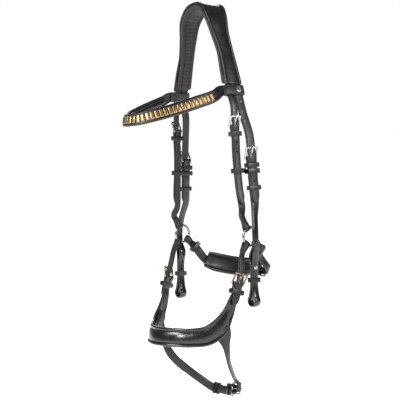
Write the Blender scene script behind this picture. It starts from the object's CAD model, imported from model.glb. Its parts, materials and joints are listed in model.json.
import json
import math

import bpy
import numpy as np
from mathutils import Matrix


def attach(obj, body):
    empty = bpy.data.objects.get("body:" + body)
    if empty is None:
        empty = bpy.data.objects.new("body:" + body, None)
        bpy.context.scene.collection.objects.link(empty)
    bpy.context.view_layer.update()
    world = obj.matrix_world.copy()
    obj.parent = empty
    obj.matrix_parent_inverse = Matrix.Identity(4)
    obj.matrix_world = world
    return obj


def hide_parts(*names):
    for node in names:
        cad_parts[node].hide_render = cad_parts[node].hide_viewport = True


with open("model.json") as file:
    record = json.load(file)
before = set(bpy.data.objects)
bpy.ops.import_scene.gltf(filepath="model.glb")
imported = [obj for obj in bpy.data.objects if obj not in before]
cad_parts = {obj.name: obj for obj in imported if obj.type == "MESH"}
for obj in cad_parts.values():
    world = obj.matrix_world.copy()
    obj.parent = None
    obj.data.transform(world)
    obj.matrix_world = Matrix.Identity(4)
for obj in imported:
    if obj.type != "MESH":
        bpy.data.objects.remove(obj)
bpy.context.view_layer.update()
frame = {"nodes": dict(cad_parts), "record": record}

# ---------- crown ----------
# The crown is a broad shaped strap of waxed leather over a foam pad in a soft lining.
# It is stitched along both edges, and the billets come out between its two layers.

MM = 0.001


def unit(v):
    v = np.array(v, float)
    return v / np.linalg.norm(v)


def axes(point, up, out):
    """Axes of a place on a strap: its point, then u along it, b across it and n out of it."""
    u = unit(up)
    b = unit(np.cross(out, u))
    return np.array(point, float), u, b, np.cross(u, b)


def at(f, du, dn=0.0, db=0.0):
    return f[0] + f[1] * du + f[2] * db + f[3] * dn


def st(point, width, thick, out):
    """A station of a strap, in millimetres: its middle, width, thickness and the way it faces."""
    return np.array([*point, width, thick, *unit(out)], float)


def mirrored(route):
    return [s * np.array([-1, 1, 1, 1, 1, -1, 1, 1]) for s in route]


def whole(half):
    """A left half, carried on past its last station by its mirror image."""
    return half + mirrored(half[-2::-1])


def smooth(route, step=2.2, least=2):
    """Rows about one step apart, along a smooth curve through a strap's stations."""
    s = np.array(route)
    spans = np.linalg.norm(np.diff(s[:, :3], axis=0), axis=1)
    rates = np.diff(s, axis=0) / spans[:, None]
    slopes = np.vstack([rates[:1], rates, rates[-1:]])
    before, after = np.r_[spans[0], spans], np.r_[spans, spans[-1]]
    slopes = (slopes[:-1] * after[:, None] + slopes[1:] * before[:, None]) / (before + after)[:, None]
    made = []
    for i, span in enumerate(spans):
        count = max(least, round(span / step))
        k = np.arange(count)[:, None] / count
        made.append((1 + 2 * k) * (1 - k) ** 2 * s[i] + k * (1 - k) ** 2 * span * slopes[i]
                    + k * k * (3 - 2 * k) * s[i + 1] + k * k * (k - 1) * span * slopes[i + 1])
    r = np.vstack([*made, s[-1:]])
    r[:, 5:] /= np.linalg.norm(r[:, 5:], axis=1)[:, None]
    return r


def row_axes(r):
    """The u, b and n of every row."""
    u = np.gradient(r[:, :3], axis=0)
    u /= np.linalg.norm(u, axis=1)[:, None]
    b = np.cross(r[:, 5:], u)
    b /= np.linalg.norm(b, axis=1)[:, None]
    return u, b, np.cross(u, b)


def layer(r, side, thick, gap=0.0, wider=0.0):
    """The rows of a layer with a thickness of its own, on one side of another strap's rows."""
    n = row_axes(r)[2]
    made = r.copy()
    made[:, :3] += n * (side * (r[:, 4] / 2 + gap + thick / 2))[:, None]
    made[:, 3] += wider
    made[:, 4] = thick
    return made


def rounded(r, ends=(True, True)):
    """Rows with a burnished round added past each end."""
    u = row_axes(r)[0]
    caps = [[], []]
    for end, i in enumerate((0, -1)):
        for angle in (35, 60, 80) if ends[end] else ():
            q = r[i].copy()
            a = math.radians(angle)
            q[:3] += u[i] * (2 * end - 1) * q[4] / 2 * math.sin(a)
            q[3] -= q[4] * (1 - math.cos(a))
            q[4] *= math.cos(a)
            caps[end].append(q)
    return np.vstack([*caps[0][::-1], r, *caps[1]])


def strap_outline(w, t, k, along, crease=0.22, dome=0.15):
    """Across a plain strap: round edges, a crease line inside each edge, a slightly full face."""
    half, h = w / 2, t / 2
    fit = min(1.0, half / 4.5)
    turn = min(0.5 * t, half * 0.5)
    side = [(half - turn + turn * math.cos(math.radians(a)), h * math.sin(math.radians(a)))
            for a in (-72, -45, -20, 0, 20, 45, 72)]
    face = [(half - inset * fit, h + lift * fit) for inset, lift in
            ((1.5, 0), (1.8, -crease), (2.1, 0), (3.2, dome * 0.6))]
    face = [(x, y) for x, y in face if x > 0.15 and x < half - turn + 0.2]
    right = side + face
    return right + [(0.0, h + dome)] + [(-x, y) for x, y in right[::-1]] + [(0.0, -h)]


def sweep(name, r, outline, grain_side=1):
    """A closed piece whose outline is carried along rows. Its edge and face are kept as attributes."""
    u, b, n = row_axes(r)
    along = np.r_[0, np.cumsum(np.linalg.norm(np.diff(r[:, :3], axis=0), axis=1))]
    share = along / along[-1]
    rings = [outline(q[3], q[4], k, s) for q, k, s in zip(r, share, along)]
    count = max(len(ring) for ring in rings)
    rings = np.array([ring_of(ring, count) for ring in rings])
    rings = np.concatenate([rings, rings[:, :1]], axis=1)
    co = r[:, None, :3] + rings[..., :1] * b[:, None] + rings[..., 1:] * n[:, None]
    bpy.ops.object.select_all(action="DESELECT")
    bpy.ops.mesh.primitive_grid_add(x_subdivisions=count, y_subdivisions=len(r) - 1, size=1)
    piece = bpy.context.object
    piece.name = piece.data.name = name
    mesh = piece.data
    mesh.vertices.foreach_set("co", (co * MM).ravel())
    edge = np.clip((np.abs(rings[..., 0]) - (r[:, 3:4] / 2 - 1.3)) / 1.3, 0, 1)
    back = np.clip(0.5 - grain_side * rings[..., 1] / r[:, 4:5] * 1.6, 0, 1) * (grain_side != 0)
    for label, values in (("edge", edge), ("back", back)):
        mesh.attributes.new(label, "FLOAT", "POINT").data.foreach_set(
            "value", values.astype(np.float32).ravel())
    bpy.ops.object.mode_set(mode="EDIT")
    bpy.ops.mesh.select_mode(type="VERT")
    bpy.ops.mesh.select_all(action="SELECT")
    bpy.ops.mesh.remove_doubles(threshold=1e-6)
    bpy.ops.mesh.select_all(action="DESELECT")
    bpy.ops.mesh.select_non_manifold()
    bpy.ops.mesh.fill_holes(sides=0)
    bpy.ops.mesh.select_all(action="SELECT")
    bpy.ops.mesh.normals_make_consistent(inside=False)
    bpy.ops.object.mode_set(mode="OBJECT")
    bpy.ops.object.shade_smooth_by_angle(angle=math.radians(55))
    return piece


def ring_of(points, count):
    """An outline with exactly count points: short ones get their last point again."""
    return points + [points[-1]] * (count - len(points))


def node_group(name, inputs, outputs):
    """An empty shader node group with named sockets, and the nodes that carry them."""
    group = bpy.data.node_groups.new(name, "ShaderNodeTree")
    for way, sockets in (("INPUT", inputs), ("OUTPUT", outputs)):
        for label, kind in sockets:
            group.interface.new_socket(name=label, in_out=way, socket_type="NodeSocket" + kind)
    return group, group.nodes.new("NodeGroupInput"), group.nodes.new("NodeGroupOutput")


def node(tree, kind, settings=None, **inputs):
    """A node with its settings and with values or links on its inputs, named with _ for a space."""
    made = tree.nodes.new("ShaderNode" + kind)
    for label, value in (settings or {}).items():
        setattr(made, label, value)
    for label, value in inputs.items():
        socket = made.inputs[int(label[1:]) if label[1:].isdigit() else label.replace("_", " ")]
        if isinstance(value, bpy.types.NodeSocket):
            tree.links.new(value, socket)
        else:
            socket.default_value = value
    return made


def tone(rgb):
    return (*rgb, 1.0)


# Hide: pores and fine wrinkles, uneven dye, rubbed edges and a duller flesh side.
hide, given, result = node_group(
    "hide",
    [("Dye", "Color"), ("Rubbed", "Color"), ("Flesh", "Color"), ("Grain", "Float"),
     ("Depth", "Float"), ("Gloss", "Float")],
    [("Colour", "Color"), ("Roughness", "Float"), ("Normal", "Vector")])
place = node(hide, "TexCoord").outputs["Object"]
pores = node(hide, "TexVoronoi", {"feature": "SMOOTH_F1"}, Vector=place, Scale=given.outputs["Grain"],
             Smoothness=0.35)
twice = node(hide, "Math", {"operation": "MULTIPLY"}, _0=given.outputs["Grain"], _1=0.37)
wrinkles = node(hide, "TexNoise", None, Vector=place, Scale=twice.outputs[0], Detail=5.0, Distortion=0.6)
height = node(hide, "Math", {"operation": "MULTIPLY_ADD"}, _0=wrinkles.outputs["Fac"], _1=1.3,
              _2=pores.outputs["Distance"])
bump = node(hide, "Bump", None, Strength=given.outputs["Depth"], Distance=0.00025, Height=height.outputs[0])
clouds = node(hide, "TexNoise", None, Vector=place, Scale=55.0, Detail=4.0, Roughness=0.6)
shade = node(hide, "MapRange", None, Value=clouds.outputs["Fac"], From_Min=0.3, From_Max=0.7,
             To_Min=0.72, To_Max=1.3)
dyed = node(hide, "VectorMath", {"operation": "SCALE"}, _0=given.outputs["Dye"], Scale=shade.outputs[0])
worn = node(hide, "Attribute", {"attribute_name": "edge"})
scuffs = node(hide, "TexNoise", None, Vector=place, Scale=160.0, Detail=3.0)
rub = node(hide, "MapRange", None, Value=scuffs.outputs["Fac"], From_Min=0.42, From_Max=0.68,
           To_Min=0.0, To_Max=0.55)
rubbed = node(hide, "Math", {"operation": "MULTIPLY"}, _0=rub.outputs[0], _1=worn.outputs["Fac"])
first = node(hide, "Mix", {"data_type": "RGBA"}, _0=rubbed.outputs[0], _6=dyed.outputs[0],
             _7=given.outputs["Rubbed"])
inside = node(hide, "Attribute", {"attribute_name": "back"})
second = node(hide, "Mix", {"data_type": "RGBA"}, _0=inside.outputs["Fac"], _6=first.outputs[2],
              _7=given.outputs["Flesh"])
sheen = node(hide, "MapRange", None, Value=clouds.outputs["Fac"], From_Min=0.3, From_Max=0.7,
             To_Min=-0.06, To_Max=0.09)
matt = node(hide, "Math", {"operation": "MULTIPLY_ADD"}, _0=inside.outputs["Fac"], _1=0.32,
            _2=given.outputs["Gloss"])
rough = node(hide, "Math", {"operation": "ADD", "use_clamp": True}, _0=sheen.outputs[0], _1=matt.outputs[0])
for label, socket in (("Colour", second.outputs[2]), ("Roughness", rough.outputs[0]),
                      ("Normal", bump.outputs[0])):
    hide.links.new(socket, result.inputs[label])


def shader(name, group, settings, **constants):
    """A material: a Principled shader fed by one group, with constants on its own sockets."""
    material = bpy.data.materials.new(name)
    material.use_nodes = True
    tree = material.node_tree
    surface = tree.nodes["Principled BSDF"]
    effect = tree.nodes.new("ShaderNodeGroup")
    effect.node_tree = group
    for label, value in settings.items():
        effect.inputs[label].default_value = value
    for label, target in (("Colour", "Base Color"), ("Roughness", "Roughness"), ("Normal", "Normal")):
        tree.links.new(effect.outputs[label], surface.inputs[target])
    for label, value in constants.items():
        surface.inputs[label.replace("_", " ")].default_value = value
    return material


def leather(name, dye, gloss, grain=1100.0, depth=0.3, rubbed=(0.045, 0.038, 0.033),
            flesh=(0.013, 0.0125, 0.012), **constants):
    return shader(name, hide, {"Dye": tone(dye), "Rubbed": tone(rubbed), "Flesh": tone(flesh),
                               "Grain": grain, "Depth": depth, "Gloss": gloss}, **constants)


def dress(piece, material, body, slot, *nodes):
    """Gives a piece its material, body and slot, and the CAD nodes that it stands for."""
    piece.data.materials.clear()
    piece.data.materials.append(material)
    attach(piece, body)
    if nodes:
        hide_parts(*nodes)
    return piece


BLACK = (0.0032, 0.0031, 0.0032)
waxed = leather("waxed_black_leather", BLACK, 0.36, Coat_Weight=0.15, Coat_Roughness=0.24)
polished = leather("polished_black_leather", BLACK, 0.24, grain=1300.0, depth=0.05,
                   Coat_Weight=0.4, Coat_Roughness=0.15)
BROWN = (0.011, 0.0078, 0.0062)
lining = leather("soft_lining_leather", BROWN, 0.52, grain=900.0, depth=0.5, flesh=BROWN,
                 Sheen_Weight=0.06, Sheen_Roughness=0.5)
soft_black = leather("soft_black_leather", BLACK, 0.42, grain=950.0, depth=0.4, Coat_Weight=0.08,
                     Coat_Roughness=0.3)
thread = leather("waxed_thread", (0.03, 0.028, 0.026), 0.45, grain=2600.0, depth=0.6)


def stitches(name, r, places, body, pitch=3.0, length=2.3, thick=0.55, sink=0.12, span=(0, 1)):
    """Rows of thread along a strap: places gives each row's share of the half width, inset and height."""
    bpy.ops.object.select_all(action="DESELECT")
    bpy.ops.mesh.primitive_uv_sphere_add(segments=6, ring_count=4, radius=0.5)
    bead = bpy.context.object
    shape = np.array([v.co for v in bead.data.vertices])
    faces = [list(p.vertices) for p in bead.data.polygons]
    bpy.data.objects.remove(bead)
    u, b, n = row_axes(r)
    along = np.r_[0, np.cumsum(np.linalg.norm(np.diff(r[:, :3], axis=0), axis=1))]
    spots = np.arange(along[-1] * span[0] + pitch, along[-1] * span[1] - pitch, pitch)
    points, polygons = [], []
    for s in spots:
        pick = [np.array([np.interp(s, along, v[:, i]) for i in range(v.shape[1])]) for v in (r, u, b, n)]
        q, du, db, dn = pick
        for side, inset, lift in places:
            middle = q[:3] + db * side * (q[3] / 2 - inset) + dn * (lift(q) - sink)
            base = len(points) * len(shape)
            points.append(middle + shape[:, 2:] * length * du + shape[:, :1] * thick * db
                          + shape[:, 1:2] * thick * dn)
            polygons += [[base + i for i in face] for face in faces]
    mesh = bpy.data.meshes.new(name)
    mesh.from_pydata((np.vstack(points) * MM).tolist(), [], polygons)
    piece = bpy.data.objects.new(name, mesh)
    bpy.context.scene.collection.objects.link(piece)
    mesh.shade_smooth()
    return dress(piece, thread, body, "black_leather")


POLL = 6.15
BETWEEN = 3.1
crown_half = [
    st((60.3, 2.5, -117), 29, BETWEEN, (1, -0.15, 0.2)),
    st((54.2, 1.4, -93), 27, BETWEEN, (1, -0.13, 0.22)),
    st((46.8, 0.5, -66), 26, 0.9, (1, -0.1, 0.25)),
    st((39, -2.5, -40), 30, 0.3, (1, -0.1, 0.4)),
    st((29.5, -4.5, -18 + POLL), 38.7, 0.3, (0.86, -0.1, 0.6)),
    st((17, -2.5, -3.5 + POLL), 42.1, 0.3, (0.36, -0.05, 1)),
    st((0, 0, POLL), 43, 0.3, (0, 0, 1))]
crown_rows = smooth(whole(crown_half), 2.0)


def flare(k):
    """How far the crown's edges turn up, most at the poll."""
    return 2.6 * math.exp(-((k - 0.5) / 0.13) ** 2)


def crown_outline(w, t, k, along):
    half = w / 2
    cut = strap_outline(w, t, k, along, crease=0.35, dome=0.3)
    # A welt stands up along each edge, with a sewn groove inside it.
    bead = [(half - inset, t / 2 + lift) for inset, lift in
            ((1.6, 0.55), (2.4, 0.8), (3.2, 0.5), (3.7, -0.35), (4.5, 0.05))]
    right = cut[:7] + bead
    cut = right + [(0.0, t / 2 + 0.3)] + [(-x, y) for x, y in right[::-1]] + [(0.0, -t / 2)]
    return [(x, y + flare(k) * (abs(x) / half) ** 2.5) for x, y in cut]


def pad_outline(w, t, k, along):
    """Soft borders either side of a sunken panel with shallow ribs across it, on the head's side."""
    half, border = w / 2, min(3.4, w / 7)
    rib = 0.32 * math.cos(2 * math.pi * along / 5.5)
    floor = -t / 2 + 1.5
    roll = [(half - border + border * math.cos(math.radians(a)), t / 2 * math.sin(math.radians(a)))
            for a in (80, 50, 25, 0, -25, -50, -80, -110, -140)]
    inner = half - 2 * border
    panel = [(inner - 0.4, floor + 0.5)] + [(inner * s, floor - rib - 0.5 * (1 - s * s))
                                            for s in (0.9, 0.75, 0.6, 0.45, 0.3, 0.15)]
    right = roll + panel
    left = [(-x, y) for x, y in right[::-1]]
    points = right + [(0.0, floor - rib - 0.5)] + left + [(-inner * 0.5, t / 2), (inner * 0.5, t / 2)]
    return [(x, y + flare(k) * (abs(x) / half) ** 2.5) for x, y in points]


CROWN_T = 3.0
crown_top = rounded(layer(crown_rows, 1, CROWN_T))
crown = sweep("crown_outer", crown_top, crown_outline)
dress(crown, waxed, "headpiece_and_cheeks", "black_leather", "crown_leather")
CROWN_PAD_T = 6.0
SHORT = 5  # rows left off each end, so that the pad stays clear of the browband's loops
crown_pad_rows = layer(smooth(whole(crown_half), 1.1), -1, CROWN_PAD_T, wider=1.5)[SHORT:-SHORT]
crown_pad = sweep("crown_lining", rounded(crown_pad_rows), pad_outline, grain_side=0)
dress(crown_pad, lining, "headpiece_and_cheeks", "lining_leather", "crown_padding")


def crown_seam(q):
    k = 0.5 + 0.5 * math.copysign(max(0.0, 1 - (q[2] + 112) / 118), q[0])
    return 1.5 + flare(k) * 0.72


stitches("crown_stitching", crown_top, [(1, 5.0, crown_seam), (-1, 5.0, crown_seam)],
         "headpiece_and_cheeks", span=(0.01, 0.99))

# ---------- billets ----------
# Two billets leave each end of the crown: a narrow front one and a wider rear one.
# Each is a single strap with punched holes and a pointed tip, passed through its buckle.

STRAP = 2.5
GAP = 0.3
OUT = (1, -0.18, 0)
BAR, WIRE, FRAME = 1.2, 1.5, 16.0
FOLD = 2.0
TILT = math.asin((BAR + FOLD + GAP + STRAP / 2 - 2.55 + STRAP + WIRE + GAP) / FRAME)
TOP_U, TOP_N = FRAME * math.cos(TILT), FRAME * math.sin(TILT)
OVER_BAR = BAR + FOLD + GAP + STRAP / 2
UNDER_TOP = TOP_N - WIRE - GAP - STRAP / 2
DOUBLE = 2 * FOLD + 0.6
OVER_DOUBLE = DOUBLE / 2 + GAP + STRAP / 2
OVER_SINGLE = STRAP + GAP
FOLD_LEN = 20


def through_buckle(f, w, lead=16):
    """A billet's stations from above its buckle's top bar down to the strap that it lies on."""
    cross = UNDER_TOP + (OVER_BAR - UNDER_TOP) * 0.6
    return [st(at(f, du, dn), w, STRAP, f[3]) for du, dn in (
        (TOP_U + lead, UNDER_TOP - 0.5), (TOP_U + 2, UNDER_TOP - 0.1), (TOP_U - 2.5, UNDER_TOP + 0.1),
        (TOP_U * 0.45, cross), (1.5, OVER_BAR), (-2.5, OVER_BAR), (-9, OVER_DOUBLE + 0.1),
        (-FOLD_LEN, OVER_DOUBLE))]


def tip(f, w, *places):
    """A pointed end: each place is how far along, how far out, how far across and a share of the width."""
    return [st(at(f, du, dn, db), w * share, STRAP, f[3]) for du, dn, db, share in places]


def drill(f, du, radius=1.45, length=0.0, depth=24, dn=0.0, db=0.0):
    """A round or oblong punch through a strap at a place on it."""
    bpy.ops.object.select_all(action="DESELECT")
    bpy.ops.mesh.primitive_cylinder_add(vertices=20, radius=radius, depth=depth)
    punch = bpy.context.object
    co = np.array([v.co for v in punch.data.vertices])
    co[:, 0] += np.where(co[:, 0] > 0, length, 0)
    co = at(f, du, dn, db) + co[:, :1] * f[1] + co[:, 1:2] * f[2] + co[:, 2:] * f[3]
    punch.data.vertices.foreach_set("co", (co * MM).ravel())
    if np.dot(np.cross(f[1], f[2]), f[3]) < 0:
        punch.data.flip_normals()
    return punch


def cut(piece, *punches):
    for punch in punches:
        bite = piece.modifiers.new("cut", "BOOLEAN")
        bite.object = punch
        bite.operation = "DIFFERENCE"
        bite.solver = "MANIFOLD"
        bpy.ops.object.select_all(action="DESELECT")
        piece.select_set(True)
        bpy.context.view_layer.objects.active = piece
        bpy.ops.object.modifier_apply(modifier=bite.name)
        bpy.data.objects.remove(punch)
    bpy.ops.object.shade_smooth_by_angle(angle=math.radians(45))
    return piece


def flip(f):
    """The same place on the other side of the head."""
    across = np.array([-1, 1, 1])
    return tuple(v * across for v in f)


def tongue_slot(f):
    return drill(f, 2.4, 1.25, TOP_U - 6.0, 16, dn=3)


tip_f = axes(crown_half[0][:3], (crown_half[1] - crown_half[0])[:3], crown_half[0][5:])
tip_f = axes(tip_f[0], -tip_f[1], tip_f[3])
FRONT_W, REAR_W = 12, 15
FRONT_SIDE = -1.2 - 0.5 - FRONT_W / 2
REAR_SIDE = -1.2 + 0.5 + REAR_W / 2
front_f = axes((66.5, 0, -181), (-0.05, -0.045, 1), OUT)
rear_f = axes((75.5, 25.2, -227), (-0.085, -0.05, 1), OUT)
rear_upper = axes((67.1, 16.5, -158), (-0.13, -0.16, 1), tip_f[3])


def from_crown(side, w):
    return [st(at(tip_f, du, 0, side), w, STRAP, tip_f[3]) for du in (-14, 0, 15)]


front_billet = from_crown(FRONT_SIDE, FRONT_W) + through_buckle(front_f, FRONT_W) + tip(
    front_f, FRONT_W, (-32, 3, 0, 1), (-66, 3, 0, 1), (-95, 4.5, 0, 1), (-105, 5.6, -0.8, 0.93),
    (-111, 6.5, -1.3, 0.6), (-115, 7.2, -1.5, 0.22))
rear_billet = from_crown(REAR_SIDE, REAR_W) + [st(rear_upper[0], REAR_W, STRAP, tip_f[3])]
rear_billet += through_buckle(rear_f, REAR_W) + tip(
    rear_f, REAR_W, (-32, 3, 0, 1), (-52, 3, 0, 1), (-59, 3.1, 0, 0.93), (-64.5, 3.3, 0, 0.62),
    (-68, 3.6, 0, 0.22))
for side in ("left", "right"):
    turn = flip if side == "right" else tuple
    route = mirrored if side == "right" else list
    piece = sweep("front_billet_strap_" + side, rounded(smooth(route(front_billet))), strap_outline)
    f = turn(front_f)
    cut(piece, tongue_slot(f), *[drill(f, du) for du in (-38, -23, 24)])
    dress(piece, waxed, "headpiece_and_cheeks", "black_leather", "front_billet_" + side)
    piece = sweep("rear_billet_strap_" + side, rounded(smooth(route(rear_billet))), strap_outline)
    f, g = turn(rear_f), turn(rear_upper)
    cut(piece, tongue_slot(f), drill(f, -36), drill(f, -21), *[drill(g, du) for du in (-15, 0, 15)])
    dress(piece, waxed, "headpiece_and_cheeks", "black_leather", "rear_billet_" + side)

# ---------- front straps and cheekpieces ----------
# Single straps folded round a buckle's bar at the top. The front strap folds round the cheek ring,
# and the cheekpiece turns up round the bit's ring and closes on a hook stud.

RING_WIRE, RING_R, RING_FOLD = 2.0, 13.5, 2.2
RING_AT = np.array([80.0, 20.0, -344.0])


def folded(f, way, w, inner, t, reach, tail=0.85):
    """A strap's end folded round a bar or ring, from its skived tail to where its outside starts.
    way is the side of the bar that the strap leaves by, as a sign along u."""
    radius, lay = inner + t / 2, t / 2 + 0.22
    made = [st(at(f, way * reach, -lay), w * tail, t * 0.5, -f[3]),
            st(at(f, way * reach * 0.72, -lay), w * (1 + tail) / 2, t, -f[3]),
            st(at(f, way * (inner + 3), -(radius + lay) / 2 + 0.1), w, t, -f[3])]
    for angle in (-75, -45, -15, 15, 45, 75):
        a = math.radians(angle)
        away = -way * math.cos(a) * f[1] + math.sin(a) * f[3]
        made.append(st(f[0] + radius * away, w, t, away))
    return made + [st(at(f, way * (inner + 3), (radius + lay) / 2 - 0.1), w, t, f[3]),
                   st(at(f, way * reach * 0.75, lay), w, t, f[3])]


def bar_fold(f, w):
    return folded(f, -1, w, BAR + 0.1, FOLD, FOLD_LEN - 2) + [
        st(at(f, -FOLD_LEN - 4), w, STRAP, f[3])]


def ring_axes(angle):
    """Axes at a place on the left ring, with u pointing away from the ring's middle."""
    d = np.array([0, math.cos(math.radians(angle)), math.sin(math.radians(angle))])
    return axes(RING_AT + d * RING_R, d, (1, 0, 0))


def ring_fold(f, w, reach=15):
    return folded(f, 1, w, RING_WIRE + 0.4, RING_FOLD, reach)


def bar_slot(f):
    """The slot in a fold that a tongue's eye turns in."""
    return drill(f, -3.6, 1.8, 9, 18)


front_ring = ring_axes(120)
front_strap = bar_fold(front_f, FRONT_W) + [
    st(at(front_f, -66), FRONT_W, STRAP, front_f[3]),
    st((72.6, 5, -277), FRONT_W, STRAP, OUT),
    st((77, 6.5, -303), FRONT_W, STRAP, (1, -0.1, 0)),
    st(at(front_ring, 20, 0.6), FRONT_W - 0.6, STRAP, (1, 0, 0))]
front_strap += ring_fold(front_ring, FRONT_W - 2)[::-1]

BIT_T, BIT_W, BIT_R, WALL = 3.0, 12, 6.0, 2.8
BIT_AT = np.array([86.7, 22, -439.5])
PINCH = BIT_T / 2 + GAP / 2
STUD_Z = 50
STUD_HOLE, SLIT = 2.3, 0.6
RUN_R = BIT_R + WALL / 2


def bit(dx, dz):
    return BIT_AT + [dx, 0, dz]


def bit_st(dx, dz, out, w=1.0, t=BIT_T):
    return st(bit(dx, dz), BIT_W * w, t, out)


cheekpiece = bar_fold(rear_f, REAR_W) + [
    st(at(rear_f, -46), REAR_W, STRAP, rear_f[3]),
    st(at(rear_f, -66), REAR_W - 0.5, STRAP, rear_f[3]),
    st((85.2, 24.5, -313), BIT_W, STRAP, (1, -0.1, 0)),
    *[bit_st(dx, dz, (1, 0, 0)) for dx, dz in
      ((2.2, 105), (1.6, 80), (-4.8, 66), (-PINCH, STUD_Z), (-PINCH, 30), (-PINCH - 0.5, 20))]]
for angle in range(140, 401, 26):
    away = np.array([math.cos(math.radians(angle)), 0, math.sin(math.radians(angle))])
    cheekpiece.append(st(BIT_AT + RUN_R * away, BIT_W, WALL, -away))
cheekpiece += [bit_st(dx, dz, (-1, 0, 0), w, t) for dx, dz, w, t in
               ((PINCH + 0.5, 20, 1, 3), (PINCH, 30, 1, 3), (PINCH, STUD_Z, 1, 3), (PINCH + 1.2, 66, 1, 2.6),
                (PINCH + 2.6, 76, 0.93, 2.5), (PINCH + 3.6, 83, 0.62, 2.5), (PINCH + 4.2, 87, 0.22, 2.3))]


def hanger_outline(w, t, k, along):
    """A plain strap above, turning into a full, raised one where it goes round the bit."""
    swell = min(1.0, max(0.0, (k - 0.4) / 0.12))
    half, h = w / 2, t / 2
    flat = strap_outline(w, t, k, along, crease=0.2 * (1 - swell))
    return [(x, y + math.copysign(swell * 0.22 * t * (1 - (x / half) ** 2), y)) for x, y in flat]


for side in ("left", "right"):
    turn = flip if side == "right" else tuple
    route = mirrored if side == "right" else list
    piece = sweep("front_cheek_strap_" + side, rounded(smooth(route(front_strap))), strap_outline)
    cut(piece, bar_slot(turn(front_f)))
    dress(piece, waxed, "headpiece_and_cheeks", "black_leather", "front_strap_" + side)
    piece = sweep("cheekpiece_strap_" + side, rounded(smooth(route(cheekpiece), 1.9)), hanger_outline,
                  grain_side=0)
    stud = turn(axes(bit(0, STUD_Z), (0, 0, 1), (1, 0, 0)))
    cut(piece, bar_slot(turn(rear_f)), drill(stud, 0, STUD_HOLE, 0, 12),
        drill(stud, 0.5, SLIT, 6, 12))
    dress(piece, polished, "headpiece_and_cheeks", "black_leather", "cheekpiece_" + side)

# ---------- buckles, tongues, rings and studs ----------
# Stainless wire buckles with loose tongues, solid cheek rings, and turned hook studs.
# The two noseband buckles have a warmer, rubbed plating.

plate, given, result = node_group(
    "plating", [("Metal", "Color"), ("Tarnish", "Color"), ("Gloss", "Float")],
    [("Colour", "Color"), ("Roughness", "Float"), ("Normal", "Vector")])
place = node(plate, "TexCoord").outputs["Object"]
patches = node(plate, "TexNoise", None, Vector=place, Scale=210.0, Detail=4.0, Roughness=0.65)
dull = node(plate, "MapRange", None, Value=patches.outputs["Fac"], From_Min=0.48, From_Max=0.72,
            To_Min=0.0, To_Max=0.75)
metal = node(plate, "Mix", {"data_type": "RGBA"}, _0=dull.outputs[0], _6=given.outputs["Metal"],
             _7=given.outputs["Tarnish"])
scratches = node(plate, "TexNoise", None, Vector=place, Scale=1900.0, Detail=2.0, Distortion=2.5)
brushed = node(plate, "Bump", None, Strength=0.12, Distance=0.0001, Height=scratches.outputs["Fac"])
rough = node(plate, "Math", {"operation": "MULTIPLY_ADD", "use_clamp": True}, _0=dull.outputs[0], _1=0.25,
             _2=given.outputs["Gloss"])
for label, socket in (("Colour", metal.outputs[2]), ("Roughness", rough.outputs[0]),
                      ("Normal", brushed.outputs[0])):
    plate.links.new(socket, result.inputs[label])


def metalwork(name, colour, tarnish, gloss):
    finish = {"Metal": tone(colour), "Tarnish": tone(tarnish), "Gloss": gloss}
    return shader(name, plate, finish, Metallic=1.0)


steel = metalwork("stainless_steel", (0.5, 0.49, 0.48), (0.2, 0.19, 0.185), 0.16)
warm = metalwork("rubbed_plating", (0.3, 0.23, 0.165), (0.1, 0.068, 0.045), 0.22)
dark_steel = metalwork("ring_steel", (0.32, 0.32, 0.32), (0.1, 0.1, 0.1), 0.14)


def repaint(label, material):
    """A CAD node whose shape is right takes a better material."""
    made = frame["nodes"][label].data.materials
    made.clear()
    made.append(material)


for label in frame["nodes"]:
    if "buckle" in label or "tongue" in label or "snap" in label or "stud" in label:
        repaint(label, warm if label.startswith("noseband") else steel)
    if label.startswith("cheek_ring"):
        repaint(label, dark_steel)

# ---------- keepers and runners ----------
# Loops of stiff leather with burnished edges. Most are sewn in beside a buckle.
# The rear and bit runners slide, and a coupler holds the front strap to the cheekpiece.


def burnished(label, body, material, radius=0.7):
    """A keeper's loops taken from the CAD node, with every edge rounded."""
    bpy.ops.object.select_all(action="DESELECT")
    source = frame["nodes"][label]
    piece = bpy.data.objects.new(label + "_loops", source.data.copy())
    bpy.context.scene.collection.objects.link(piece)
    piece.select_set(True)
    bpy.context.view_layer.objects.active = piece
    bpy.ops.object.mode_set(mode="EDIT")
    bpy.ops.mesh.select_all(action="SELECT")
    bpy.ops.mesh.remove_doubles(threshold=1e-5)
    bpy.ops.mesh.dissolve_limited(angle_limit=math.radians(1))
    bpy.ops.object.mode_set(mode="OBJECT")
    edge = piece.modifiers.new("edge", "BEVEL")
    edge.width = radius * MM
    edge.segments = 3
    edge.limit_method = "ANGLE"
    edge.use_clamp_overlap = True
    bpy.ops.object.modifier_apply(modifier=edge.name)
    bpy.ops.object.shade_smooth_by_angle(angle=math.radians(40))
    return dress(piece, material, body, "black_leather", label)


BODY_OF = {n: body for body, group in frame["record"]["behaviour"]["bodies"].items() for n in group}
for label in frame["nodes"]:
    if "keeper" in label or "runner" in label or "coupler" in label:
        burnished(label, BODY_OF[label], waxed)

# ---------- browband ----------
# A padded band with rolled edges, a row of brass clinchers set in its channel, and piping inside.
# A loop at each end holds both billets, and a tab over it closes on a press stud.

LOOP_F = axes(at(tip_f, 10.5), tip_f[1], tip_f[3])
LOOP_H, LOOP_T = 15, 2.2
LOOP_N = STRAP / 2 + 1.2 + LOOP_T / 2
LOOP_FORE = FRONT_SIDE - FRONT_W / 2 - 1.6
LOOP_REAR = REAR_SIDE + REAR_W / 2 + 1.6 + LOOP_T / 2
BROW_T, BROW_N, BROW_W = 3.0, 2.0, 19


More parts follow.
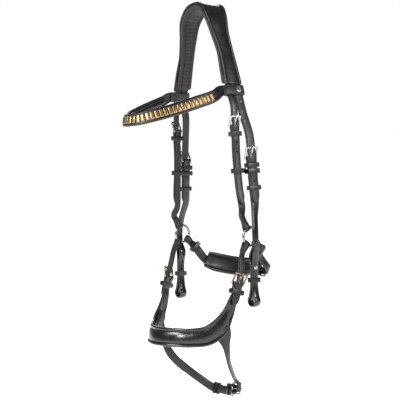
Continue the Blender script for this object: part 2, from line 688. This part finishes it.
def loop_st(b, n, out_b, out_n, w, t):
    return st(at(LOOP_F, 0, n, b), w, t, LOOP_F[2] * out_b + LOOP_F[3] * out_n)


brow_half = [
    loop_st(LOOP_FORE - 0.5, BROW_N, 0, 1, LOOP_H, BROW_T),
    loop_st(LOOP_FORE - 7, BROW_N, 0, 1, LOOP_H + 1, BROW_T),
    st((64.8, -36, -137.5), 18, BROW_T, (1, -0.14, 0.12)),
    st((59.5, -65, -148.5), BROW_W, BROW_T, (1, -0.3, 0.14)),
    st((48.5, -97, -160), BROW_W, BROW_T, (1, -0.6, 0.15)),
    st((32, -125, -169.5), BROW_W, BROW_T, (0.7, -1, 0.16)),
    st((16, -138.5, -174), BROW_W, BROW_T, (0.3, -1, 0.16)),
    st((0, -143, -175), BROW_W, BROW_T, (0, -1, 0.16))]
brow_rows = smooth(whole(brow_half), 1.8)


def rolled(w, t, k, roll, proud, swell, seam=0.7, points=5):
    """Across a band with a rolled edge at each side and a seam between roll and middle panel.
    k is how far the rolls are formed, from 0 for a plain strap to 1."""
    half = w / 2
    radius = t / 2 + (roll - t / 2) * k
    drop = radius - t / 2 - proud * k
    side = [(half - radius + radius * math.cos(math.radians(a)), -drop + radius * math.sin(math.radians(a)))
            for a in (-130, -95, -65, -35, 0, 35, 65, 95, 130)]
    inner = half - 2 * radius - 0.3
    seams = [(inner + 0.1, t / 2 - seam * k), (inner - 0.8, t / 2 - 0.15 * k)]
    panel = [((inner - 0.8) * s, t / 2 + swell * k * (1 - s * s)) for s in
             [1 - (i + 1) / (points + 1) for i in range(points)]]
    right = side + seams + panel
    back = [(half - 2 * radius) * s for s in (-1, -0.4, 0.4, 1)]
    return (right + [(0.0, t / 2 + swell * k)] + [(-x, y) for x, y in right[::-1]]
            + [(x, -t / 2) for x in back])


def ease(x, low, high):
    k = min(1.0, max(0.0, (x - low) / (high - low)))
    return k * k * (3 - 2 * k)


def brow_outline(w, t, k, along):
    return rolled(w, t, ease(w, 15.2, 18.2), 2.7, 1.0, 0.0)


def inner_pad(w, t, k, along):
    """A soft inside panel with a line of piping along each edge, swelling towards the head."""
    half, cord = w / 2, 1.3
    ends = ease(min(k, 1 - k), 0.0, 0.05)
    h = t / 2 * (0.35 + 0.65 * ends)
    side = [(half - cord + cord * math.cos(math.radians(a)), cord * math.sin(math.radians(a)) - h + cord)
            for a in (90, 45, 0, -45, -90, -130)]
    inner = half - 2 * cord - 0.3
    panel = [(inner, -h + 1.1)] + [(inner * s, -h - 0.7 * (1 - s ** 4)) for s in (0.9, 0.7, 0.45, 0.2)]
    right = side + panel
    return ([(half * 0.6, h)] + right + [(0.0, -h - 0.7)] + [(-x, y) for x, y in right[::-1]]
            + [(-half * 0.6, h), (0.0, h)])


brow = sweep("browband_band", rounded(brow_rows), brow_outline)
dress(brow, waxed, "browband", "black_leather", "browband_leather")
inside_rows = layer(brow_rows[12:-12], -1, 4.0, GAP, wider=-5.2)
brow_pad = sweep("browband_lining", rounded(inside_rows), inner_pad, grain_side=0)
dress(brow_pad, polished, "browband", "lining_leather", "browband_padding")
stitches("browband_stitching", brow_rows, [(1, 5.75, lambda q: 0.95), (-1, 5.75, lambda q: 0.95)],
         "browband", pitch=2.8, length=2.1, thick=0.45, span=(0.1, 0.9))

CLINCHERS, PITCH = 40, 6.8
CLINCHER_LENGTH, CLINCHER_WIDTH, CLINCHER_HEIGHT = 5.9, 11.2, 1.0
SEATED = 0.45
gold, given, result = node_group("clincher_finish", [("Metal", "Color"), ("Deep", "Color")],
                                 [("Colour", "Color"), ("Roughness", "Float"), ("Normal", "Vector")])
place = node(gold, "TexCoord").outputs["Object"]
stain = node(gold, "TexNoise", None, Vector=place, Scale=130.0, Detail=3.0)
stained = node(gold, "MapRange", None, Value=stain.outputs["Fac"], From_Min=0.4, From_Max=0.7,
               To_Min=0.0, To_Max=0.6)
seat = node(gold, "Attribute", {"attribute_name": "edge"})
dark = node(gold, "Math", {"operation": "MAXIMUM"}, _0=stained.outputs[0], _1=seat.outputs["Fac"])
mixed = node(gold, "Mix", {"data_type": "RGBA"}, _0=dark.outputs[0], _6=given.outputs["Metal"],
             _7=given.outputs["Deep"])
rough = node(gold, "MapRange", None, Value=dark.outputs[0], To_Min=0.32, To_Max=0.5)
dents = node(gold, "TexNoise", None, Vector=place, Scale=700.0, Detail=2.0)
hammered = node(gold, "Bump", None, Strength=0.25, Distance=0.0002, Height=dents.outputs["Fac"])
for label, socket in (("Colour", mixed.outputs[2]), ("Roughness", rough.outputs[0]),
                      ("Normal", hammered.outputs[0])):
    gold.links.new(socket, result.inputs[label])
brass = shader("clincher_brass", gold, {"Metal": tone((0.42, 0.3, 0.155)), "Deep": tone((0.15, 0.09, 0.035))},
               Metallic=1.0)


def clincher(length, width, height):
    """One clincher: a brass plate with a raised, cushioned middle and turned-down sides."""
    bpy.ops.object.select_all(action="DESELECT")
    bpy.ops.mesh.primitive_cube_add(size=1)
    made = bpy.context.object
    made.scale = (length, width, height)
    bpy.ops.object.transform_apply(scale=True)
    bpy.ops.object.mode_set(mode="EDIT")
    bpy.ops.mesh.select_all(action="DESELECT")
    bpy.ops.mesh.select_mode(type="FACE")
    bpy.ops.object.mode_set(mode="OBJECT")
    for face in made.data.polygons:
        face.select = face.normal.z > 0.9
    bpy.ops.object.mode_set(mode="EDIT")
    bpy.ops.mesh.inset(thickness=0.75, depth=0.55)
    bpy.ops.mesh.inset(thickness=0.8, depth=0.3)
    bpy.ops.object.mode_set(mode="OBJECT")
    soft = made.modifiers.new("soft", "BEVEL")
    soft.width = 0.22
    soft.segments = 2
    bpy.ops.object.modifier_apply(modifier=soft.name)
    return made


one = clincher(CLINCHER_LENGTH, CLINCHER_WIDTH, CLINCHER_HEIGHT)
shape = np.array([v.co for v in one.data.vertices])
faces = [list(p.vertices) for p in one.data.polygons]
bpy.data.objects.remove(one)
u, b, n = row_axes(brow_rows)
along = np.r_[0, np.cumsum(np.linalg.norm(np.diff(brow_rows[:, :3], axis=0), axis=1))]
points, polygons, depth = [], [], []
for i in range(CLINCHERS):
    s = along[-1] / 2 + (i - (CLINCHERS - 1) / 2) * PITCH
    q, du, db, dn = [np.array([np.interp(s, along, v[:, j]) for j in range(v.shape[1])])
                     for v in (brow_rows, u, b, n)]
    lean = 0.5 * math.sin(i * 2.4) * shape[:, :1] / 6
    base = i * len(shape)
    points.append(q[:3] + dn * (BROW_T / 2 + SEATED + shape[:, 2:] + lean)
                  + du * shape[:, :1] + db * shape[:, 1:2])
    depth.append(np.clip(1 - (shape[:, 2] + 0.5) / 0.8, 0, 1))
    polygons += [[base + j for j in face] for face in faces]
mesh = bpy.data.meshes.new("browband_clincher_row")
mesh.from_pydata((np.vstack(points) * MM).tolist(), [], polygons)
mesh.attributes.new("edge", "FLOAT", "POINT").data.foreach_set(
    "value", np.concatenate(depth).astype(np.float32))
row = bpy.data.objects.new("browband_clincher_row", mesh)
bpy.context.scene.collection.objects.link(row)
dress(row, brass, "browband", "clincher_brass", "browband_clinchers")
bpy.ops.object.select_all(action="DESELECT")
row.select_set(True)
bpy.context.view_layer.objects.active = row
bpy.ops.object.mode_set(mode="EDIT")
bpy.ops.mesh.select_all(action="SELECT")
bpy.ops.mesh.normals_make_consistent(inside=False)
bpy.ops.object.mode_set(mode="OBJECT")
bpy.ops.object.shade_smooth_by_angle(angle=math.radians(35))

LOOP_START = BROW_N - (BROW_T + LOOP_T) / 2 - GAP
TAB_T = 2.4
TAB_N = LOOP_N + LOOP_T / 2 + GAP + TAB_T / 2
SNAP_B = 3.5
loop_route = [loop_st(*values, LOOP_T) for values in (
    (LOOP_FORE - 7, LOOP_START, 0, -1, LOOP_H - 1), (LOOP_FORE - 2, LOOP_START - 0.6, -0.2, -1, LOOP_H),
    (LOOP_FORE + 3, -LOOP_N, -0.05, -1, LOOP_H), (0, -LOOP_N, 0, -1, LOOP_H),
    (LOOP_REAR - 3, -LOOP_N, 0.2, -1, LOOP_H), (LOOP_REAR, 0, 1, 0, LOOP_H),
    (LOOP_REAR - 3, LOOP_N, 0.2, 1, LOOP_H), (LOOP_REAR - 8, LOOP_N, 0, 1, LOOP_H),
    (0, LOOP_N, 0, 1, LOOP_H), (LOOP_FORE + 5, LOOP_N, 0, 1, LOOP_H - 3))]
tab_route = [loop_st(*values, TAB_T) for values in (
    (LOOP_FORE - 5, BROW_N + (BROW_T + TAB_T) / 2 + GAP, -0.1, 1, LOOP_H - 1),
    (LOOP_FORE - 1, TAB_N - 0.4, -0.15, 1, LOOP_H), (LOOP_FORE + 5, TAB_N, 0, 1, LOOP_H),
    (SNAP_B, TAB_N, 0, 1, LOOP_H), (SNAP_B + 5, TAB_N, 0, 1, LOOP_H * 0.86),
    (SNAP_B + 7.8, TAB_N, 0, 1, LOOP_H * 0.55), (SNAP_B + 9, TAB_N, 0, 1, LOOP_H * 0.3))]
for side in ("left", "right"):
    route = mirrored if side == "right" else list
    turn = flip if side == "right" else tuple
    piece = sweep("browband_loop_" + side, rounded(smooth(route(loop_route), 1.6)), strap_outline)
    if side == "left":
        dress(piece, waxed, "browband", "black_leather", "browband_loops")
    else:
        dress(piece, waxed, "browband", "black_leather")
    tab_rows = rounded(smooth(route(tab_route), 1.6))
    piece = sweep("browband_tab_strap_" + side, tab_rows, strap_outline)
    cut(piece, drill(turn(LOOP_F), 0, 3.35, 0, 9, dn=TAB_N, db=SNAP_B))
    dress(piece, waxed, "browband_tab_" + side, "black_leather", "browband_tab_" + side)
    stitches("browband_tab_stitching_" + side, tab_rows,
             [(1, 1.9, lambda q: TAB_T / 2), (-1, 1.9, lambda q: TAB_T / 2)],
             "browband_tab_" + side, pitch=2.6, length=1.9, thick=0.45, span=(0.05, 0.75))

# ---------- noseband ----------
# A broad padded band with rolled edges round the nose, on billets from the cheek rings.
# It forks at each side into a thin twisted leg that runs down behind the chin.

NOSE_T, NOSE_TOP_W, NOSE_W = 3.0, 15, 28
nose_f = axes((81.3, -6.2, -413.5), (-0.02, 0.29, 0.957), (1, -0.2, 0))
nose_ring = ring_axes(235)
nose_billet = ring_fold(nose_ring, 10) + through_buckle(nose_f, 12)[1:] + tip(
    nose_f, 12, (-25, 3.5, 0, 0.92), (-29.5, 3.3, 0, 0.6), (-32, 3.2, 0, 0.25))
nose_half = bar_fold(nose_f, NOSE_TOP_W)[:-1] + [
    st((79.2, -15, -440), 16, NOSE_T, (1, -0.22, 0)),
    st((76.8, -22.5, -458), 21, NOSE_T, (1, -0.3, 0.02)),
    st((73, -35, -476.5), 28.6, NOSE_T, (1, -0.5, 0.06)),
    st((65, -49, -487), 29.1, NOSE_T, (1, -0.72, 0.12)),
    st((50, -66, -490.5), NOSE_W, NOSE_T, (0.8, -0.9, 0.18)),
    st((28, -83.5, -490.5), NOSE_W, NOSE_T, (0.4, -1, 0.22)),
    st((0, -93, -490), NOSE_W, NOSE_T, (0, -1, 0.24))]
nose_rows = smooth(whole(nose_half), 1.9)
FORMED = (16.5, 24.0)


def nose_outline(w, t, k, along):
    return rolled(w, t, ease(w, *FORMED), 2.6, 0.75, 0.9, seam=0.8, points=7)


nose = sweep("noseband_band", rounded(nose_rows), nose_outline)
cut(nose, bar_slot(nose_f), bar_slot(flip(nose_f)))
dress(nose, polished, "noseband", "black_leather", "noseband_leather")
full = [i for i, q in enumerate(nose_rows) if q[3] > 24.5]
nose_inside = layer(nose_rows[full[0]:full[-1] + 1], -1, 5.0, GAP, wider=-5.4)
nose_pad = sweep("noseband_lining", rounded(nose_inside), inner_pad, grain_side=0)
dress(nose_pad, lining, "noseband", "lining_leather", "noseband_padding")
seam_rows = nose_rows[full[0] - 6:full[-1] + 7]
stitches("noseband_stitching", seam_rows, [(1, 6.1, lambda q: 1.2), (-1, 6.1, lambda q: 1.2)],
         "noseband", pitch=2.8, length=2.1, thick=0.5)

LOWER_W = 13
groove_f = axes((32, 28, -578.5), (0.9, -0.28, 0.28), (0.2, 0.93, -0.28))
low_f = axes((-14, 35, -585), (1, 0.04, -0.02), (-0.03, 0.96, -0.27))
LOW_OVER = OVER_SINGLE + 0.5
leg_half = [
    st((75.4, -32, -478), LOWER_W + 15, 2.4, (1, -0.46, 0.05)),
    st((75.8, -27.5, -490), LOWER_W + 10, 2.4, (1, -0.38, 0)),
    st((75.6, -23.5, -503), LOWER_W + 1, 2.4, (1, -0.1, 0)),
    st((74.3, -19.5, -516), LOWER_W - 1, 2.4, (0.95, 0.2, 0)),
    st((70.5, -12.5, -532), LOWER_W, STRAP, (0.8, 0.55, 0)),
    st((64.5, -1, -547), LOWER_W, STRAP, (0.66, 0.72, -0.1))]
leg_foot = st((58.5, 9.5, -557.5), LOWER_W, STRAP, (0.5, 0.85, -0.15))
groove_billet = [leg_foot] + through_buckle(groove_f, LOWER_W, 9) + tip(
    low_f, LOWER_W, (8, LOW_OVER, 0, 1), (-6, LOW_OVER, 0, 1), (-12, LOW_OVER, 0, 0.93),
    (-17, LOW_OVER, 0, 0.6), (-20, LOW_OVER, 0, 0.25))
for side in ("left", "right"):
    turn = flip if side == "right" else tuple
    route = mirrored if side == "right" else list
    ends = groove_billet if side == "left" else [leg_foot]
    piece = sweep("noseband_leg_" + side, rounded(smooth(route(leg_half + ends))), strap_outline)
    if side == "left":
        cut(piece, tongue_slot(groove_f), drill(groove_f, -19))
    dress(piece, waxed, "noseband", "black_leather")
    piece = sweep("noseband_billet_strap_" + side, rounded(smooth(route(nose_billet), 1.8)), strap_outline)
    f = turn(nose_f)
    cut(piece, tongue_slot(f), drill(f, TOP_U + 8))
    dress(piece, waxed, "noseband", "black_leather", "noseband_billet_" + side)

# ---------- chin-groove strap ----------
# A plain strap behind the chin groove. It is sewn over the right leg's foot,
# and its buckle takes the left leg's billet.

LAP = STRAP + 2 * GAP
groove_strap = bar_fold(groove_f, LOWER_W) + [
    st(at(low_f, 8), LOWER_W, STRAP, low_f[3]),
    st(at(low_f, -8), LOWER_W, STRAP, low_f[3]),
    st((-41, 26, -574), LOWER_W, STRAP, (-0.33, 0.92, -0.22))]
groove_strap += [st(s[:3] + LAP * s[5:], LOWER_W, STRAP, s[5:]) for s in mirrored([leg_foot, leg_half[-1]])]
groove_rows = rounded(smooth(groove_strap))
piece = sweep("chin_groove_band", groove_rows, strap_outline)
cut(piece, bar_slot(groove_f))
dress(piece, waxed, "noseband", "black_leather", "chin_groove_strap")
stitches("chin_groove_stitching", groove_rows, [(1, 1.9, lambda q: 1.25), (-1, 1.9, lambda q: 1.25)],
         "noseband", span=(0.86, 0.99))

# ---------- chin strap ----------
# A strap across the back of the jaw with a broad soft pad under it, hung from both cheek rings.
# It buckles on the left of the pad.

CHIN_W, PAD_T, PAD_W = 14, 8, 32
chin_ring = ring_axes(-40)
pad_half = [
    st((59, 56.5, -386), PAD_W - 3, PAD_T - 2, (0.8, 0.45, -0.42)),
    st((50.5, 63.5, -389.5), PAD_W, PAD_T, (0.62, 0.62, -0.48)),
    st((27, 72, -393.5), PAD_W, PAD_T, (0.28, 0.8, -0.5)),
    st((0, 75, -395), PAD_W, PAD_T, (0, 0.85, -0.5))]


def coarse_axes(route, i):
    """Axes at one station of a route, from its neighbours."""
    a, c = route[max(i - 1, 0)][:3], route[min(i + 1, len(route) - 1)][:3]
    return axes(route[i][:3], c - a, route[i][5:])


PAD_SKIN = PAD_T / 2 + GAP + STRAP / 2 + 0.4
PAD_BUCKLE = PAD_T / 2 + GAP + 1.9 + GAP + DOUBLE / 2 + 0.6
pad_whole = whole(pad_half)
chin_f = axes(at(coarse_axes(pad_half, 2), -8, PAD_BUCKLE), (0.97, -0.19, 0.03), (0.3, 0.8, -0.5))
pad_mid = axes(at(coarse_axes(pad_whole, 3), 0, PAD_SKIN + 2.4), (1, 0, 0), (0, 0.85, -0.5))
MID_OVER = OVER_SINGLE + 0.8


def on_pad(i, dn):
    f = coarse_axes(pad_whole, i)
    return st(at(f, 0, dn), CHIN_W, STRAP, f[3])


def chin_pad_outline(w, t, k, along):
    """Rolled top and bottom borders round a flat-sewn middle, the same inside and out."""
    half, border = w / 2, 2.6 * (t / PAD_T)
    ends = ease(min(k, 1 - k), 0.0, 0.06)
    h = t / 2 * (0.7 + 0.3 * ends)
    side = [(half - border + border * math.cos(math.radians(a)), border * 1.25 * math.sin(math.radians(a)))
            for a in (0, 35, 70, 105, 135)]
    inner = half - 2 * border
    panel = [(inner, 1.7)] + [(inner * s, h * (0.55 + 0.45 * (1 - s ** 4)))
                              for s in (0.93, 0.8, 0.6, 0.35, 0.12)]
    quarter = side + panel
    top = quarter + [(-x, y) for x, y in quarter[::-1]]
    return top + [(x, -y) for x, y in top[::-1]][1:-1]


chin_side = [st(at(chin_ring, 17, 0.3), CHIN_W, STRAP, (1, 0.1, 0)),
             st((77, 44, -366), CHIN_W, STRAP, (0.95, 0.3, -0.15))]
chin_billet = ring_fold(chin_ring, CHIN_W - 4, 12) + chin_side + through_buckle(chin_f, CHIN_W, 8) + tip(
    pad_mid, CHIN_W, (3, MID_OVER, 0, 1), (-4, MID_OVER, 0, 0.93), (-8.5, MID_OVER, 0, 0.62),
    (-11.5, MID_OVER, 0, 0.25))
chin_back = mirrored(ring_fold(chin_ring, CHIN_W - 4, 12) + chin_side) + [
    on_pad(6, PAD_SKIN + 1), on_pad(5, PAD_SKIN + 0.4), on_pad(4, PAD_SKIN + 0.6),
    st(at(pad_mid, -6), CHIN_W, STRAP, pad_mid[3]), st(at(pad_mid, 3), CHIN_W, STRAP, pad_mid[3])]
chin_back += bar_fold(chin_f, CHIN_W)[::-1]

pad_rows = rounded(smooth(pad_whole, 1.8))
pad = sweep("chin_pad_cushion", pad_rows, chin_pad_outline, grain_side=0)
dress(pad, soft_black, "chin_strap", "lining_leather", "chin_pad")
stitches("chin_pad_stitching", pad_rows,
         [(s, 5.4, lambda q, g=g: g * 1.9) for s in (1, -1) for g in (1, -1)], "chin_strap",
         pitch=3.0, span=(0.05, 0.95))
piece = sweep("chin_billet", rounded(smooth(chin_billet, 1.8)), strap_outline)
cut(piece, tongue_slot(chin_f), drill(chin_f, TOP_U + 9))
dress(piece, waxed, "chin_strap", "black_leather", "chin_strap_left")
piece = sweep("chin_back_strap", rounded(smooth(chin_back, 1.8)), strap_outline)
cut(piece, bar_slot(chin_f))
dress(piece, waxed, "chin_strap", "black_leather", "chin_strap_right")

# ---------- studio ----------
# A pale floor under the hanging bridle, a bright even surround and four soft lights.

world = bpy.data.worlds.new("surround")
world.use_nodes = True
surround = world.node_tree
LIT = 0.2  # how strongly the surround lights the bridle, beside how bright it looks
seen = node(surround, "LightPath").outputs["Is Camera Ray"]
bright = node(surround, "MapRange", None, Value=seen, To_Min=LIT, To_Max=1.0)
surround.nodes["Background"].inputs["Color"].default_value = (1, 1, 1, 1)
surround.links.new(bright.outputs[0], surround.nodes["Background"].inputs["Strength"])
bpy.context.scene.world = world
bpy.context.scene.view_settings.view_transform = "Standard"

bpy.ops.object.select_all(action="DESELECT")
FLOOR_Z = -0.66
bpy.ops.mesh.primitive_plane_add(size=30, location=(0, 0, FLOOR_Z))
ground = bpy.context.object
ground.name = "floor"
pale = bpy.data.materials.new("pale_floor")
pale.use_nodes = True
for label, value in (("Base Color", tone((0.88, 0.88, 0.88))), ("Roughness", 0.9),
                     ("Emission Color", tone((1, 1, 1))), ("Emission Strength", 1.0)):
    pale.node_tree.nodes["Principled BSDF"].inputs[label].default_value = value
ground.data.materials.append(pale)


def soft_light(name, place, aim, size, watts):
    lamp = bpy.data.lights.new(name, "AREA")
    lamp.size = size
    lamp.energy = watts
    made = bpy.data.objects.new(name, lamp)
    made.location = place
    direction = np.array(aim) - np.array(place)
    made.rotation_euler = (math.acos(-direction[2] / np.linalg.norm(direction)), 0,
                           math.atan2(direction[1], direction[0]) - math.pi / 2)
    bpy.context.scene.collection.objects.link(made)


soft_light("key", (0.2, -1.6, 0.7), (0, 0, -0.3), 0.6, 24)
soft_light("front", (0.63, -1.44, 0.1), (0, 0, -0.45), 0.25, 7)
soft_light("side", (1.7, 0.4, 0.3), (0, 0, -0.3), 0.5, 12)
soft_light("rim", (-1.2, 0.9, 0.5), (0, 0, -0.3), 0.8, 12)

lens = bpy.data.cameras.new("camera")
lens.sensor_width = 36
lens.lens = 87.1
camera = bpy.data.objects.new("camera", lens)
camera.location = (1.1343, -0.9618, -0.290)
camera.rotation_euler = (math.radians(90), 0, math.radians(50))
bpy.context.scene.collection.objects.link(camera)
bpy.context.scene.camera = camera
